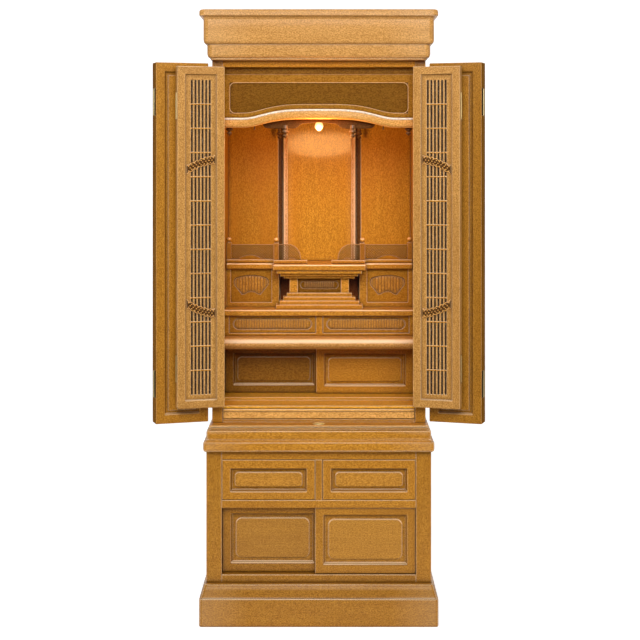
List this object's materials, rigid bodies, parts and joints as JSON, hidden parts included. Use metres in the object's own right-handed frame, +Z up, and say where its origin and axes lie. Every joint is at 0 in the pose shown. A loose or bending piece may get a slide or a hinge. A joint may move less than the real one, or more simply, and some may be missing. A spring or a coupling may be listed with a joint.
{
  "type": "household altar cabinet",
  "caption": "Tall panelled wooden altar cabinet with a moulded cap, folding outer and lattice doors, a stepped altar niche, drawers, sliding doors and a plinth.",
  "frame": {"origin": "middle of the plinth's underside", "axes": "+Z up, the front with the doors faces -Y, +X to the right seen from the front"},
  "size_m": [0.9014, 0.5304, 1.65],
  "materials": {
    "golden_wood": "satin lacquered fine-grained wood",
    "pale_wood": "satin lacquered paler wood",
    "dark_wood": "satin stained wood in the shade of the head and back",
    "umber_wood": "dark brown stained carving",
    "brass": "polished brass",
    "lamp_glass": "warm frosted lamp glass"
  },
  "bodies": {
    "cabinet": {"plinth": "golden_wood", "lower_side_left": "golden_wood", "lower_side_right": "golden_wood", "lower_back": "dark_wood", "lower_bottom": "golden_wood", "drawer_shelf": "golden_wood", "drawer_divider": "golden_wood", "top_rail": "golden_wood", "ledge": "golden_wood", "door_catch": "brass", "upper_side_left": "golden_wood", "upper_side_right": "golden_wood", "upper_back": "dark_wood", "altar_floor": "pale_wood", "cap": "golden_wood", "header_rail": "dark_wood", "ceiling": "dark_wood", "frieze": "dark_wood", "lintel": "pale_wood", "valance": "umber_wood", "back_panel_centre": "golden_wood", "back_panel_left": "golden_wood", "back_panel_right": "golden_wood", "lamp": "lamp_glass", "step_case": "golden_wood", "step_shelf": "golden_wood", "nosing_shelf": "golden_wood", "altar_top": "golden_wood", "altar_pedestal": "golden_wood", "altar_side_left": "golden_wood", "altar_side_right": "golden_wood", "railing_outer_left": "golden_wood", "railing_outer_right": "golden_wood", "railing_inner_left": "golden_wood", "railing_inner_right": "golden_wood"},
    "drawer_left": {"drawer_left": "golden_wood"},
    "drawer_right": {"drawer_right": "golden_wood"},
    "cupboard_door_left": {"cupboard_door_left": "golden_wood"},
    "cupboard_door_right": {"cupboard_door_right": "golden_wood"},
    "tray": {"tray": "pale_wood"},
    "step_drawer_left": {"step_drawer_left": "golden_wood"},
    "step_drawer_right": {"step_drawer_right": "golden_wood"},
    "shelf_door_left": {"shelf_door_left": "golden_wood"},
    "shelf_door_right": {"shelf_door_right": "golden_wood"},
    "outer_door_left": {"outer_leaf_left": "golden_wood", "outer_hinge_low_left": "brass", "outer_hinge_high_left": "brass"},
    "outer_fold_left": {"outer_fold_leaf_left": "golden_wood"},
    "lattice_door_left": {"lattice_leaf_left": "golden_wood", "lattice_hinge_low_left": "brass", "lattice_hinge_high_left": "brass"},
    "lattice_fold_left": {"lattice_fold_leaf_left": "golden_wood"},
    "outer_door_right": {"outer_leaf_right": "golden_wood", "outer_hinge_low_right": "brass", "outer_hinge_high_right": "brass"},
    "outer_fold_right": {"outer_fold_leaf_right": "golden_wood"},
    "lattice_door_right": {"lattice_leaf_right": "golden_wood", "lattice_hinge_low_right": "brass", "lattice_hinge_high_right": "brass"},
    "lattice_fold_right": {"lattice_fold_leaf_right": "golden_wood"}
  },
  "joints": [
    {"name": "doors_left", "type": "hinge", "parent": "cabinet", "child": "outer_door_left", "pos_m": [-0.2955, -0.2, 1], "axis": [0, 0, 1], "range_deg": [0, 162]},
    {"name": "outer_fold_left", "type": "hinge", "parent": "outer_door_left", "child": "outer_fold_left", "pos_m": [-0.44423, -0.22362, 1], "axis": [0, 0, 1], "range_deg": [0, 180]},
    {"name": "lattice_left", "type": "hinge", "parent": "cabinet", "child": "lattice_door_left", "pos_m": [-0.2605, -0.201, 1], "axis": [0, 0, 1], "range_deg": [0, 165]},
    {"name": "lattice_fold_left", "type": "hinge", "parent": "lattice_door_left", "child": "lattice_fold_left", "pos_m": [-0.38156, -0.25052, 1], "axis": [0, 0, -1], "range_deg": [0, 180]},
    {"name": "doors_right", "type": "hinge", "parent": "cabinet", "child": "outer_door_right", "pos_m": [0.2955, -0.2, 1], "axis": [0, 0, -1], "range_deg": [0, 162]},
    {"name": "outer_fold_right", "type": "hinge", "parent": "outer_door_right", "child": "outer_fold_right", "pos_m": [0.44423, -0.22362, 1], "axis": [0, 0, -1], "range_deg": [0, 180]},
    {"name": "lattice_right", "type": "hinge", "parent": "cabinet", "child": "lattice_door_right", "pos_m": [0.2605, -0.201, 1], "axis": [0, 0, -1], "range_deg": [0, 165]},
    {"name": "lattice_fold_right", "type": "hinge", "parent": "lattice_door_right", "child": "lattice_fold_right", "pos_m": [0.38156, -0.25052, 1], "axis": [0, 0, 1], "range_deg": [0, 180]},
    {"name": "drawer_slide_left", "type": "slide", "parent": "cabinet", "child": "drawer_left", "axis": [0, 1, 0], "range_m": [-0.28, 0]},
    {"name": "drawer_slide_right", "type": "slide", "parent": "cabinet", "child": "drawer_right", "axis": [0, 1, 0], "range_m": [-0.28, 0]},
    {"name": "cupboard_slide_left", "type": "slide", "parent": "cabinet", "child": "cupboard_door_left", "axis": [-1, 0, 0], "range_m": [-0.249, 0]},
    {"name": "cupboard_slide_right", "type": "slide", "parent": "cabinet", "child": "cupboard_door_right", "axis": [1, 0, 0], "range_m": [-0.249, 0]},
    {"name": "tray_slide", "type": "slide", "parent": "cabinet", "child": "tray", "axis": [0, 1, 0], "range_m": [-0.16, 0]},
    {"name": "step_drawer_slide_left", "type": "slide", "parent": "cabinet", "child": "step_drawer_left", "axis": [0, 1, 0], "range_m": [-0.1, 0]},
    {"name": "step_drawer_slide_right", "type": "slide", "parent": "cabinet", "child": "step_drawer_right", "axis": [0, 1, 0], "range_m": [-0.1, 0]},
    {"name": "shelf_door_slide_left", "type": "slide", "parent": "cabinet", "child": "shelf_door_left", "axis": [-1, 0, 0], "range_m": [-0.258, 0]},
    {"name": "shelf_door_slide_right", "type": "slide", "parent": "cabinet", "child": "shelf_door_right", "axis": [1, 0, 0], "range_m": [-0.258, 0]}
  ],
  "couplings": [
    {"joint": "outer_fold_left", "follows": "doors_left", "ratio": 1.1111},
    {"joint": "lattice_left", "follows": "doors_left", "ratio": 1.0185},
    {"joint": "lattice_fold_left", "follows": "doors_left", "ratio": 1.1111},
    {"joint": "outer_fold_right", "follows": "doors_right", "ratio": 1.1111},
    {"joint": "lattice_right", "follows": "doors_right", "ratio": 1.0185},
    {"joint": "lattice_fold_right", "follows": "doors_right", "ratio": 1.1111}
  ]
}
